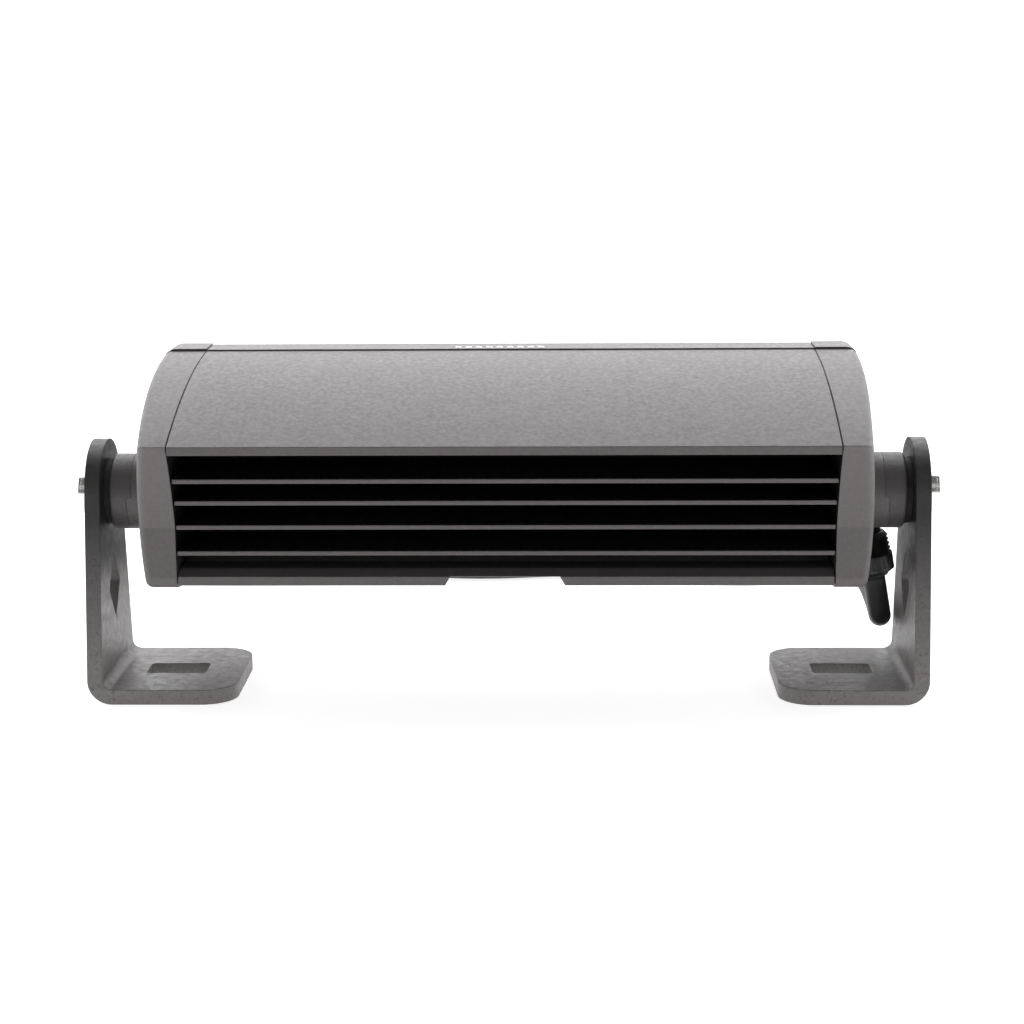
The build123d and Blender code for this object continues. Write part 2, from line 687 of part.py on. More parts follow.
def front_screw(x, z, seat_y, head_r, head_high, shank_r, tip_y):
    head = rod_y(head_r, x, (seat_y, seat_y + head_high), z)
    rim = head.edges().filter_by(GeomType.CIRCLE).sort_by(Axis.Y)[-1]
    head = fillet(rim, head_high * 0.4)
    body = head + rod_y(shank_r, x, (tip_y, seat_y + 0.3), z)
    return body - hexagon_y(head_r, x, (seat_y + head_high * 0.4, seat_y + head_high + 1), z)


def bezel_screws():
    screws = []
    for x in BEZEL_SCREW_X:
        for z in (BEZEL_SCREW_TOP_Z, BEZEL_SCREW_LOW_Z):
            screws.append(front_screw(x, z, BEZEL_FRONT_Y - 1.6, 2.6, 1.5, 1.25, FRONT_Y - 7))
    for x in (-END_SCREW_X, END_SCREW_X):
        for z in END_SCREW_Z:
            screws.append(front_screw(x, z, END_BEZEL_FRONT_Y - 2.6, 3.5, 2.4, 1.65, FRONT_Y - 8))
    return screws


def cup_places():
    half = (COLUMNS - 1) / 2
    return [
        ((column - half) * PITCH, BEAM_Z + row * ROW_OFFSET)
        for column in range(COLUMNS)
        for row in (-1, 1)
    ]


def cup_solid(extra, start_y, end_y):
    """A bowl-shaped plug along Y, grown by extra, for the cup's skin or its hollow."""
    growth = (CUP_MOUTH_R**2 - CUP_BASE_R**2) / (CUP_FRONT_Y - CUP_BASE_Y)
    middle_y = CUP_BASE_Y + 13.0
    middle_r = math.sqrt(CUP_BASE_R**2 + growth * (middle_y - CUP_BASE_Y))
    base = (CUP_BASE_R + extra, CUP_BASE_Y)
    mouth = (CUP_MOUTH_R + extra, CUP_FRONT_Y)
    outline = [
        Line((0, start_y), (base[0], start_y)),
        ThreePointArc(base, (middle_r + extra, middle_y), mouth),
        Line((mouth[0], end_y), (0, end_y)),
        Line((0, end_y), (0, start_y)),
    ]
    if start_y < CUP_BASE_Y:
        outline.append(Line((base[0], start_y), base))
    if end_y > CUP_FRONT_Y:
        outline.append(Line(mouth, (mouth[0], end_y)))
    half = make_face(outline)
    return revolve(half, Axis.Y)


def reflector():
    middle_z = (WINDOW_LOW_Z + WINDOW_HIGH_Z) / 2
    plate = Pos(0, middle_z) * Rectangle(2 * WINDOW_HALF_X + 2, WINDOW_HIGH_Z - WINDOW_LOW_Z + 1.4)
    body = prism_y(plate, (CUP_FRONT_Y - 1.6, CUP_FRONT_Y))
    skin = cup_solid(CUP_WALL, CUP_BASE_Y, CUP_FRONT_Y)
    hollow = cup_solid(0, CUP_BASE_Y - 1, CUP_FRONT_Y + 1)
    body = body + [Pos(x, 0, z) * skin for x, z in cup_places()]
    return body - [Pos(x, 0, z) * hollow for x, z in cup_places()]


def board_plate(y):
    """A plate the size of the LED board, with its screw holes."""
    plate = block((-97.0, 97.0), y, (43.0, 96.0))
    for x in BOARD_SCREW_X:
        plate = plate - rod_y(1.6, x, (y[0] - 1, y[1] + 1), BEAM_Z)
    return plate


def led_emitters():
    """Square chip packages, each with a low dome."""
    emitters = []
    for x, z in cup_places():
        base = block((x - 1.9, x + 1.9), (BOARD_FRONT_Y, BOARD_FRONT_Y + 0.7), (z - 1.9, z + 1.9))
        front = block((x - 2, x + 2), (BOARD_FRONT_Y + 0.4, BOARD_FRONT_Y + 3), (z - 2, z + 2))
        dome = Pos(x, BOARD_FRONT_Y + 0.1, z) * Sphere(1.7) & front
        emitters.append(base + dome)
    return emitters


def board_screws():
    tip_y = CORE_FRONT_Y - 5
    return [front_screw(x, BEAM_Z, BOARD_FRONT_Y, 2.7, 1.8, 1.25, tip_y) for x in BOARD_SCREW_X]


# ---------------------------------------------------------------- driver, in the right-hand cap


def driver_board():
    plate = block(DRIVER_X, DRIVER_Y, DRIVER_Z)
    for z in DRIVER_SCREW_Z:
        plate = plate - rod_x(1.3, (DRIVER_X[0] - 1, DRIVER_X[1] + 1), DRIVER_SCREW_Y, z)
    return plate


def driver_screws():
    face_x = DRIVER_X[0]
    screws = []
    for z in DRIVER_SCREW_Z:
        head = rod_x(2.3, (face_x - 1.6, face_x), DRIVER_SCREW_Y, z)
        screws.append(head + rod_x(1.2, (face_x - 0.2, face_x + 5.3), DRIVER_SCREW_Y, z))
    return screws


def driver_inductor():
    """A drum choke: two flanges and a wound waist."""
    face_x = DRIVER_X[0]
    near = rod_x(6.2, (face_x - 1.2, face_x), INDUCTOR_Y, INDUCTOR_Z)
    far = rod_x(6.2, (face_x - 7.2, face_x - 6.0), INDUCTOR_Y, INDUCTOR_Z)
    return near + rod_x(5.2, (face_x - 6.2, face_x - 1.0), INDUCTOR_Y, INDUCTOR_Z) + far


def driver_capacitors():
    cans = []
    for y in CAPACITOR_Y:
        can = rod_x(4.0, (DRIVER_X[0] - 7.8, DRIVER_X[0]), y, CAPACITOR_Z)
        rims = can.edges().filter_by(GeomType.CIRCLE)
        cans.append(fillet(rims, 0.5))
    return cans


def driver_chips():
    places = ((21.5, 70.0, 6.0, 5.0), (37.0, 71.5, 4.0, 6.0), (22.0, 56.0, 5.0, 4.0))
    x = (DRIVER_X[0] - 1.6, DRIVER_X[0])
    return [
        block(x, (y - wide / 2, y + wide / 2), (z - high / 2, z + high / 2))
        for y, z, wide, high in places
    ]


def tube(points, radius, radii):
    """A round tube along straight runs joined by tangent arcs."""
    path = FilletPolyline(*points, radius=radii)
    start = Plane(origin=path @ 0, z_dir=path % 0)
    return sweep(start * Circle(radius), path=path)


def lead(shift):
    """One insulated core, from inside the gland to the driver board."""
    y = GLAND_EXIT[1] + shift
    low = along_gland(0.8)
    bend = along_gland(LEAD_TURN - shift * 0.9)
    z = bend[2]
    over_x = DRIVER_X[0] - 2.8
    points = (
        (low[0], y, low[2]),
        (bend[0], y, z),
        (over_x, y, z),
        (over_x, LEAD_JOIN_Y, z),
        (DRIVER_X[0], LEAD_JOIN_Y, z),
    )
    return tube(points, LEAD_R, [2.0, 2.0, 1.2])


def board_link():
    """Two short cores from the driver board to the LED board."""
    cores = []
    join_y = LEAD_JOIN_Y - 1.0
    board_x = 94.0
    for z in LINK_Z:
        points = (
            (DRIVER_X[0], join_y, z),
            (101.5, join_y, z),
            (board_x, 14.0, z),
            (board_x, BOARD_FRONT_Y, z),
        )
        cores.append(tube(points, LEAD_R, [4.0, 2.5]))
    return cores


# ---------------------------------------------------------------- gland, cable and plug


def gland_body():
    """The ribbed rubber sleeve between the cap and the gland nut, with its spigot."""
    frame = gland_frame()
    step = (GLAND_SPIGOT - GLAND_NUT_HIGH) / GLAND_RIBS
    body = gland_rod(5.7, GLAND_NUT_HIGH, GLAND_SPIGOT)
    for index in range(GLAND_RIBS):
        wide = 7.2 - 0.12 * index
        start = GLAND_NUT_HIGH + index * step
        cone = Pos(0, 0, start + step * 0.4) * Cone(wide, 5.8, step * 0.8)
        body = body + frame * cone
    body = body + gland_rod(4.6, GLAND_SPIGOT - 0.5, GLAND_LONG)
    return body - gland_rod(LEAD_BORE_R, 0, GLAND_LONG + 1)


def gland_nut():
    """The clamping nut: a collar with grip flutes and a chamfered mouth."""
    frame = gland_frame()
    body = gland_rod(GLAND_NUT_R, GLAND_NUT_LOW, GLAND_NUT_HIGH)
    mouth = Pos(0, 0, GLAND_NUT_LOW - 0.6) * Cone(5.6, GLAND_NUT_R, 1.2)
    body = body + frame * mouth
    for index in range(GLAND_FLUTES):
        angle = 2 * math.pi * index / GLAND_FLUTES
        reach = GLAND_NUT_R + 0.55
        place = Pos(reach * math.cos(angle), reach * math.sin(angle), GLAND_NUT_LOW + 3.2)
        body = body - frame * (place * Cylinder(0.9, 4.0))
    return body - gland_rod(LEAD_BORE_R, 0, GLAND_NUT_HIGH + 0.5)


def gland_seal():
    """The rubber ring that grips the cable at the nut's mouth."""
    return gland_rod(4.9, 0.0, 0.8) - gland_rod(LEAD_BORE_R, -1, 2)


def cable_radii(points):
    """Arc radii that use nearly half of the shorter run on each side of a corner."""
    radii = []
    for before, corner, after in zip(points, points[1:], points[2:]):
        into = Vector(*corner) - Vector(*before)
        out = Vector(*after) - Vector(*corner)
        half_turn = math.radians(into.get_angle(out)) / 2
        radii.append(0.45 * min(into.length, out.length) / math.tan(half_turn))
    return radii


def cable_pieces():
    """The cable, parted on a drum about the tilt axis, so tilting never drives it into itself."""
    radii = cable_radii(CABLE_ROUTE)
    print("cable radii", [round(radius, 1) for radius in radii])
    path = FilletPolyline(*CABLE_ROUTE, radius=radii)
    whole = tube(CABLE_ROUTE, CABLE_R, radii)
    section = math.pi * CABLE_R**2
    print("cable length", round(path.length, 1), "volume", round(whole.volume, 1))
    print("section times length", round(section * path.length, 1))
    reach = (GLAND_EXIT[0] - 30, GLAND_EXIT[0] + 30)
    inner = rod_x(CABLE_SPLIT_R, reach, 0, PIVOT_Z)
    outer = rod_x(CABLE_SPLIT_R + CABLE_SPLIT_GAP, reach, 0, PIVOT_Z)
    return whole & inner, whole - outer


def plug_outline(wide, high, corner_r):
    """A rounded rectangle centred on the cable's end, drawn with Y and Z as its axes."""
    end = CABLE_ROUTE[-1]
    return Pos(end[1], end[2]) * RectangleRounded(wide, high, corner_r)


def plug_shell():
    """The connector's housing: rounded body, rear collar, grip grooves and an open mating face."""
    end = CABLE_ROUTE[-1]
    shape = plug_outline(PLUG_WIDE, PLUG_HIGH, 4.0)
    body = prism_x(shape, (PLUG_MOUTH_X, PLUG_BODY_REAR_X))
    body = body + rod_x(7.2, (PLUG_BODY_REAR_X - 1, PLUG_REAR_X - 1.5), end[1], end[2])
    grip = shape - plug_outline(PLUG_WIDE - 1.2, PLUG_HIGH - 1.2, 3.4)
    for index in range(3):
        x = PLUG_BODY_REAR_X - 6 - 3 * index
        body = body - prism_x(grip, (x - 0.6, x + 0.6))
    cavity = plug_outline(PLUG_WIDE - 4.4, PLUG_HIGH - 4.4, 2.4)
    return body - prism_x(cavity, (PLUG_MOUTH_X - 1, PLUG_MOUTH_X + PLUG_CAVITY))


def plug_seal():
    """The rear wire seal around the cable, just inside the collar."""
    end = CABLE_ROUTE[-1]
    return rod_x(5.4, (PLUG_REAR_X - 1.5, PLUG_REAR_X), end[1], end[2])


def plug_wedge():
    """The coloured lock plate at the bottom of the mating cavity."""
    end = CABLE_ROUTE[-1]
    floor_x = PLUG_MOUTH_X + PLUG_CAVITY
    body = prism_x(plug_outline(15.6, 11.0, 1.6), (floor_x - 2.4, floor_x))
    for side in (-1, 1):
        body = body - rod_x(2.1, (floor_x - 4, floor_x + 1), end[1] + side * PIN_OFFSET, end[2])
    return body


def plug_contacts():
    end = CABLE_ROUTE[-1]
    floor_x = PLUG_MOUTH_X + PLUG_CAVITY
    pins = []
    for side in (-1, 1):
        pin = rod_x(1.2, (floor_x - 10, floor_x), end[1] + side * PIN_OFFSET, end[2])
        tip = pin.edges().filter_by(GeomType.CIRCLE).sort_by(Axis.X)[0]
        pins.append(chamfer(tip, 0.5))
    return pins


# ---------------------------------------------------------------- assembly


def paired_parts():
    washer_x = (BRACKET_OUTER_X, BRACKET_OUTER_X + FLAT_WASHER_THICK)
    spring_x = (washer_x[1], washer_x[1] + SPRING_WASHER_THICK)
    right_hand = {
        "bracket": bracket(),
        "pivot_spacer": pivot_spacer(),
        "friction_washer": ring_x(
            FRICTION_WASHER_R, BOLT_R + 0.1, (SPACER_END_X, BRACKET_OUTER_X - PLATE)
        ),
        "flat_washer": ring_x(FLAT_WASHER_R, BOLT_R + 0.2, washer_x),
        "spring_washer": spring_washer(spring_x),
        "pivot_bolt": pivot_bolt(spring_x[1]),
        "end_bezel": end_bezel(),
        "end_cap_gasket": cap_gasket(),
        "end_cap_screws": Compound(children=cap_screws()),
    }
    nodes = {}
    for name, shape in right_hand.items():
        for side, placed in both_sides(shape).items():
            nodes[f"{name}_{side}"] = placed
    return nodes


def all_parts():
    nodes = paired_parts()
    blank = cap_blank()
    drop, run = cable_pieces()
    nodes.update(
        {
            "housing": housing(),
            "end_cap_right": right_cap(blank),
            "end_cap_left": left_cap(blank),
            "breather_vent": breather_vent(),
            "lens": lens(),
            "lens_seal": lens_seal(),
            "bezel_top": bezel_top(),
            "bezel_bottom": bezel_bottom(),
            "bezel_screws": Compound(children=bezel_screws()),
            "reflector": reflector(),
            "thermal_pad": board_plate((CORE_FRONT_Y, PAD_FRONT_Y)),
            "led_board": board_plate((PAD_FRONT_Y, BOARD_FRONT_Y)),
            "led_emitters": Compound(children=led_emitters()),
            "board_screws": Compound(children=board_screws()),
            "driver_board": driver_board(),
            "driver_screws": Compound(children=driver_screws()),
            "driver_inductor": driver_inductor(),
            "driver_capacitors": Compound(children=driver_capacitors()),
            "driver_chips": Compound(children=driver_chips()),
            "lead_red": lead(-1.1),
            "lead_black": lead(1.1),
            "board_link": Compound(children=board_link()),
            "gland_body": gland_body(),
            "gland_nut": gland_nut(),
            "gland_seal": gland_seal(),
            "cable_drop": drop,
            "cable_run": run,
            "plug_shell": plug_shell(),
            "plug_seal": plug_seal(),
            "plug_wedge": plug_wedge(),
            "plug_contacts": Compound(children=plug_contacts()),
        }
    )
    return nodes


for node, solid in all_parts().items():
    export_step(solid, f"parts/{node}.step")
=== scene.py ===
import json
import math

import bmesh
import bpy
from mathutils import Matrix, Vector


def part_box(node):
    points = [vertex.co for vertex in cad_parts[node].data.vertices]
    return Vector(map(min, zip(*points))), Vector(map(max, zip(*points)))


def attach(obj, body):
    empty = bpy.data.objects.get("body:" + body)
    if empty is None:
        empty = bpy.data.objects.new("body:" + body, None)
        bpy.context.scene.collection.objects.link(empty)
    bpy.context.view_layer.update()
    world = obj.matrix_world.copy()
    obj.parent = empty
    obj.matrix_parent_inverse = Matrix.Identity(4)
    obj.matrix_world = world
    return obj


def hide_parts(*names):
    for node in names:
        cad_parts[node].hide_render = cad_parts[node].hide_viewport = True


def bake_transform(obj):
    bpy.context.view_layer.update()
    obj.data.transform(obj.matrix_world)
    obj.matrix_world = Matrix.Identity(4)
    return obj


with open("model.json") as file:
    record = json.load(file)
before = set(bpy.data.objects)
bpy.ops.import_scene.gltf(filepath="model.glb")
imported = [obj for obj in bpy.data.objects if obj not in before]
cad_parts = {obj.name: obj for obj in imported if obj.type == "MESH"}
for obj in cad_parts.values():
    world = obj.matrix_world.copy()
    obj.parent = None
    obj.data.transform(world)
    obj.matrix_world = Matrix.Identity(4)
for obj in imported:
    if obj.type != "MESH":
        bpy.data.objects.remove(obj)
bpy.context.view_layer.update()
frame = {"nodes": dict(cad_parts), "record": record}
NODES = frame["nodes"]
SCENE = bpy.context.scene

# ---------------------------------------------------------------- camera

CAMERA_AT = (0.020627, -0.714573, 0.207779)
CAMERA_YAW = 0.0268
CAMERA_PITCH = 0.2051
CAMERA_ROLL = -0.0069
CAMERA_LENS = 76.88


def add_camera():
    """The camera stands behind the lamp, a little above it, and looks along +Y."""
    yaw, pitch = CAMERA_YAW, CAMERA_PITCH
    level = Vector((-math.sin(yaw), math.cos(yaw), 0))
    forward = level * math.cos(pitch) - Vector((0, 0, math.sin(pitch)))
    upright = level * math.sin(pitch) + Vector((0, 0, math.cos(pitch)))
    sideways = Vector((math.cos(yaw), math.sin(yaw), 0))
    right = sideways * math.cos(CAMERA_ROLL) + upright * math.sin(CAMERA_ROLL)
    up = upright * math.cos(CAMERA_ROLL) - sideways * math.sin(CAMERA_ROLL)
    data = bpy.data.cameras.new("camera")
    data.sensor_width = 36.0
    data.lens = CAMERA_LENS
    data.clip_start = 0.01
    data.clip_end = 40.0
    camera = bpy.data.objects.new("camera", data)
    SCENE.collection.objects.link(camera)
    turn = Matrix((right, up, -forward)).transposed().to_4x4()
    camera.matrix_world = Matrix.Translation(CAMERA_AT) @ turn
    SCENE.camera = camera


add_camera()

# ---------------------------------------------------------------- the lead

CABLE_RADIUS = 0.0038
STEPS_PER_SPAN = 16
CABLE_ROUTE = (
    (0.1240, 0.0120, 0.0346),
    (0.126151, 0.0120, 0.0224),
    (0.1279, 0.0205, 0.0174),
    (0.1284, 0.0340, 0.0194),
    (0.1275, 0.0510, 0.0232),
    (0.1245, 0.0710, 0.0234),
    (0.1185, 0.0930, 0.0180),
    (0.1090, 0.1170, 0.0102),
    (0.0960, 0.1390, 0.0050),
    (0.0720, 0.1525, 0.0039),
    (0.0440, 0.1575, 0.0039),
    (0.0150, 0.1545, 0.0039),
    (-0.0130, 0.1495, 0.0039),
    (-0.0380, 0.1515, 0.0042),
    (-0.0620, 0.1560, 0.0083),
    (-0.0840, 0.1560, 0.0083),
)
TUBE_SIDES = 28


def spline_points(route, steps):
    """Points along a smooth NURBS spline that has the route's points as its controls."""
    curve = bpy.data.curves.new("route", "CURVE")
    curve.dimensions = "3D"
    spline = curve.splines.new("NURBS")
    spline.points.add(len(route) - 1)
    for point, place in zip(spline.points, route):
        point.co = (*place, 1.0)
    spline.order_u = 3
    spline.use_endpoint_u = True
    spline.resolution_u = steps
    holder = bpy.data.objects.new("route", curve)
    mesh = bpy.data.meshes.new_from_object(holder)
    points = [vertex.co.copy() for vertex in mesh.vertices]
    bpy.data.objects.remove(holder)
    bpy.data.curves.remove(curve)
    bpy.data.meshes.remove(mesh)
    return points


def tube_mesh(name, points, radius, sides):
    """A closed tube around a line of points, with frames that don't twist."""
    mesh = bmesh.new()
    rings = []
    side = Vector((0, 1, 0))
    for index, point in enumerate(points):
        before = points[max(index - 1, 0)]
        after = points[min(index + 1, len(points) - 1)]
        along = (after - before).normalized()
        side = (side - along * side.dot(along)).normalized()
        across = along.cross(side)
        ring = []
        for step in range(sides):
            angle = 2 * math.pi * step / sides
            spoke = side * math.cos(angle) + across * math.sin(angle)
            ring.append(mesh.verts.new(point + spoke * radius))
        rings.append(ring)
    for low, high in zip(rings, rings[1:]):
        for step in range(sides):
            after = (step + 1) % sides
            mesh.faces.new((low[step], low[after], high[after], high[step]))
    mesh.faces.new(list(reversed(rings[0])))
    mesh.faces.new(rings[-1])
    bmesh.ops.recalc_face_normals(mesh, faces=mesh.faces)
    data = bpy.data.meshes.new(name)
    mesh.to_mesh(data)
    mesh.free()
    for face in data.polygons:
        face.use_smooth = True
    piece = bpy.data.objects.new(name, data)
    SCENE.collection.objects.link(piece)
    return piece


lead_line = spline_points(CABLE_ROUTE, STEPS_PER_SPAN)
lead = tube_mesh("lead", lead_line, CABLE_RADIUS, TUBE_SIDES)
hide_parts("cable_drop", "cable_run")
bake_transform(lead)

# ---------------------------------------------------------------- materials


class Paint:
    """A node material with short calls for the nodes that it uses."""

    def __init__(self, name):
        self.material = bpy.data.materials.new(name)
        self.material.use_nodes = True
        self.tree = self.material.node_tree
        self.shader = self.tree.nodes["Principled BSDF"]
        self.coords = self.tree.nodes.new("ShaderNodeTexCoord")

    def link(self, source, target):
        self.tree.links.new(source, target)

    def set(self, **values):
        for name, value in values.items():
            self.shader.inputs[name.replace("_", " ")].default_value = value

    def feed(self, source, name):
        self.link(source, self.shader.inputs[name])

    def place(self, stretch=None):
        """Object coordinates, stretched along an axis where a grain runs one way."""
        if stretch is None:
            return self.coords.outputs["Object"]
        node = self.tree.nodes.new("ShaderNodeMapping")
        node.inputs["Scale"].default_value = stretch
        self.link(self.coords.outputs["Object"], node.inputs["Vector"])
        return node.outputs["Vector"]

    def noise(self, scale, detail=2.0, rough=0.5, stretch=None):
        node = self.tree.nodes.new("ShaderNodeTexNoise")
        node.inputs["Scale"].default_value = scale
        node.inputs["Detail"].default_value = detail
        node.inputs["Roughness"].default_value = rough
        self.link(self.place(stretch), node.inputs["Vector"])
        return node.outputs["Fac"]

    def cells(self, scale, stretch=None):
        node = self.tree.nodes.new("ShaderNodeTexVoronoi")
        node.inputs["Scale"].default_value = scale
        self.link(self.place(stretch), node.inputs["Vector"])
        return node.outputs["Distance"]

    def span(self, source, low, high, to_low, to_high):
        """source between low and high, taken to the range to_low to to_high."""
        node = self.tree.nodes.new("ShaderNodeMapRange")
        self.link(source, node.inputs["Value"])
        names = ("From Min", "From Max", "To Min", "To Max")
        for name, value in zip(names, (low, high, to_low, to_high)):
            node.inputs[name].default_value = value
        return node.outputs["Result"]

    def math(self, kind, first, second):
        node = self.tree.nodes.new("ShaderNodeMath")
        node.operation = kind
        for socket, value in zip(node.inputs, (first, second)):
            if isinstance(value, (int, float)):
                socket.default_value = value
            else:
                self.link(value, socket)
        return node.outputs["Value"]

    def mix(self, factor, first, second):
        node = self.tree.nodes.new("ShaderNodeMix")
        node.data_type = "RGBA"
        for index, value in ((0, factor), (6, first), (7, second)):
            if isinstance(value, (int, float)):
                node.inputs[index].default_value = value
            elif isinstance(value, tuple):
                node.inputs[index].default_value = (*value, 1.0)
            else:
                self.link(value, node.inputs[index])
        return node.outputs[2]

    def axes(self, kind="Object"):
        node = self.tree.nodes.new("ShaderNodeSeparateXYZ")
        self.link(self.coords.outputs[kind], node.inputs["Vector"])
        return node.outputs

    def bump(self, height, strength, distance, below=None):
        node = self.tree.nodes.new("ShaderNodeBump")
        node.inputs["Strength"].default_value = strength
        node.inputs["Distance"].default_value = distance
        self.link(height, node.inputs["Height"])
        if below is not None:
            self.link(below, node.inputs["Normal"])
        return node.outputs["Normal"]

    def soft_edges(self, radius):
        """Rounds sharp edges a little in the shading."""
        node = self.tree.nodes.new("ShaderNodeBevel")
        node.samples = 4
        node.inputs["Radius"].default_value = radius
        return node.outputs["Normal"]


def powder_coat(name, color, grain, sparkle, rough=(0.38, 0.55), painted_bay_shade=False, blotches_and_painted_top_shade=False):
    """Fine-textured powder coat: pimpled skin, slight mottling and paler specks, with painted shade
    in the fin bay or towards the top where asked.
    """
    paint = Paint(name)
    mottle = paint.span(paint.noise(38.0, 3.0), 0.3, 0.7, 0.97, 1.03)
    fine = paint.span(paint.noise(grain * 0.45, 2.0), 0.3, 0.7, 0.93, 1.07)
    shade = paint.math("MULTIPLY", mottle, fine)
    speck = paint.span(paint.noise(grain, 1.0), 0.60, 0.78, 0.0, sparkle)
    deep = tuple(channel * 0.55 for channel in color)
    bright = tuple(channel * 1.45 for channel in color)
    tone = paint.mix(paint.span(shade, 0.55, 1.45, 0.0, 1.0), deep, bright)
    tone = paint.mix(speck, tone, tuple(min(1.0, channel * 2.6 + 0.05) for channel in color))
    # Painted shade: faces inside the fin bay are mixed toward near black where shade falls.
    if painted_bay_shade:
        tone = paint.mix(fin_bay_painted_shade(paint), tone, (0.010, 0.010, 0.010))
    # Random dark blotches, then painted shade: the colour goes toward near black with height,
    # standing in for the shade on the upper parts.
    if blotches_and_painted_top_shade:
        dark = paint.span(paint.noise(grain * 0.8, 1.0), 0.26, 0.42, 0.40, 0.0)
        tone = paint.mix(dark, tone, (0.020, 0.019, 0.019))
        height = paint.span(paint.axes()[2], 0.012, 0.062, 0.0, 0.93)
        tone = paint.mix(height, tone, (0.012, 0.012, 0.012))
    paint.feed(tone, "Base Color")
    paint.feed(paint.span(paint.noise(grain * 0.3, 2.0), 0.3, 0.7, *rough), "Roughness")
    skin = paint.bump(paint.noise(grain * 0.6, 2.0), 0.28, 0.00022, paint.soft_edges(0.0006))
    paint.feed(skin, "Normal")
    paint.set(Specular_IOR_Level=0.5)
    return paint.material


BAY_ARC_Y = 0.0513
BAY_ARC_Z = -0.1442
BAY_ARC_R = 0.2518
BAY_LOW_Z = 0.0470
BAY_FULL_Z = 0.0535
BAY_HALF_X = 0.1060
BAY_FRONT_Y = 0.0100
BAY_DEEP_Y = -0.0250


def fin_bay_painted_shade(paint):
    """1 where painted shade goes on the faces inside the fin bay, under the top skin and above the
    lip: these faces are mixed toward near black to stand in for the shade there.
    """
    x, y, z = paint.axes()
    normal_y = paint.math("ABSOLUTE", paint.axes("Normal")[1], 0.0)
    arc_y = paint.math("SUBTRACT", y, BAY_ARC_Y)
    arc_z = paint.math("SUBTRACT", z, BAY_ARC_Z)
    square_y = paint.math("MULTIPLY", arc_y, arc_y)
    square_z = paint.math("MULTIPLY", arc_z, arc_z)
    squares = paint.math("ADD", square_y, square_z)
    under_skin = paint.math("LESS_THAN", paint.math("SQRT", squares, 0.0), BAY_ARC_R)
    above_lip = paint.math("GREATER_THAN", z, BAY_LOW_Z)
    within = paint.math("LESS_THAN", paint.math("ABSOLUTE", x, 0.0), BAY_HALF_X)
    behind = paint.math("LESS_THAN", y, BAY_FRONT_Y)
    deep = paint.math("GREATER_THAN", y, BAY_DEEP_Y)
    flank = paint.math("LESS_THAN", normal_y, 0.7)
    inward = paint.math("MAXIMUM", deep, flank)
    mask = paint.math("MULTIPLY", under_skin, above_lip)
    mask = paint.math("MULTIPLY", mask, paint.span(z, BAY_LOW_Z, BAY_FULL_Z, 0.35, 1.0))
    mask = paint.math("MULTIPLY", mask, paint.math("MULTIPLY", within, behind))
    return paint.math("MULTIPLY", mask, inward)


def rubber(name, color, rough=(0.55, 0.75), grain=900.0, depth=0.00008):
    paint = Paint(name)
    tone = paint.span(paint.noise(120.0, 3.0), 0.3, 0.7, 0.0, 1.0)
    paint.feed(paint.mix(tone, color, tuple(c * 1.7 + 0.004 for c in color)), "Base Color")
    paint.feed(paint.span(paint.noise(260.0, 2.0), 0.3, 0.7, *rough), "Roughness")
    paint.feed(paint.bump(paint.noise(grain, 3.0), 0.25, depth), "Normal")
    paint.set(Specular_IOR_Level=0.35, Sheen_Weight=0.05)
    return paint.material


def moulded(name, color, rough=(0.3, 0.45), grain=1500.0):
    """Injection-moulded plastic with a fine spark-eroded grain."""
    paint = Paint(name)
    tone = paint.span(paint.noise(90.0, 2.0), 0.3, 0.7, 0.0, 1.0)
    paint.feed(paint.mix(tone, color, tuple(min(1.0, c * 1.25 + 0.003) for c in color)), "Base Color")
    paint.feed(paint.span(paint.noise(grain * 0.4, 2.0), 0.3, 0.7, *rough), "Roughness")
    skin = paint.bump(paint.noise(grain, 2.0), 0.2, 0.00006, paint.soft_edges(0.0003))
    paint.feed(skin, "Normal")
    return paint.material


def metal(name, color, rough=(0.15, 0.3), stretch=(1.0, 1.0, 1.0), grain=1600.0, depth=0.00003):
    """Bare or plated metal with turning or brushing marks along one axis."""
    paint = Paint(name)
    tone = paint.span(paint.noise(140.0, 3.0), 0.3, 0.7, 0.0, 1.0)
    paint.feed(paint.mix(tone, tuple(c * 0.86 for c in color), color), "Base Color")
    marks = paint.noise(grain, 2.0, 0.6, stretch)
    paint.feed(paint.span(marks, 0.3, 0.7, *rough), "Roughness")
    paint.feed(paint.bump(marks, 0.15, depth, paint.soft_edges(0.0003)), "Normal")
    paint.set(Metallic=1.0)
    return paint.material


def clear_lens(name):
    paint = Paint(name)
    paint.set(Transmission_Weight=1.0, IOR=1.49, Base_Color=(0.965, 0.985, 0.985, 1.0))
    paint.feed(paint.span(paint.noise(60.0, 3.0), 0.45, 0.75, 0.012, 0.05), "Roughness")
    paint.feed(paint.bump(paint.noise(22.0, 1.0), 0.05, 0.0003), "Normal")
    return paint.material


CUP_RING_RADIANS_PER_METRE = 2600.0


def mirror_cups(name):
    """Vacuum-metallised plastic with faint orange peel and facet rings."""
    paint = Paint(name)
    paint.set(Metallic=1.0, Base_Color=(0.90, 0.91, 0.93, 1.0))
    paint.feed(paint.span(paint.noise(300.0, 2.0), 0.3, 0.7, 0.05, 0.13), "Roughness")
    depth = paint.axes()[1]
    rings = paint.math("SINE", paint.math("MULTIPLY", depth, CUP_RING_RADIANS_PER_METRE), 0.0)
    peel = paint.bump(paint.noise(420.0, 2.0), 0.12, 0.0001)
    paint.feed(paint.bump(rings, 0.22, 0.00012, peel), "Normal")
    return paint.material


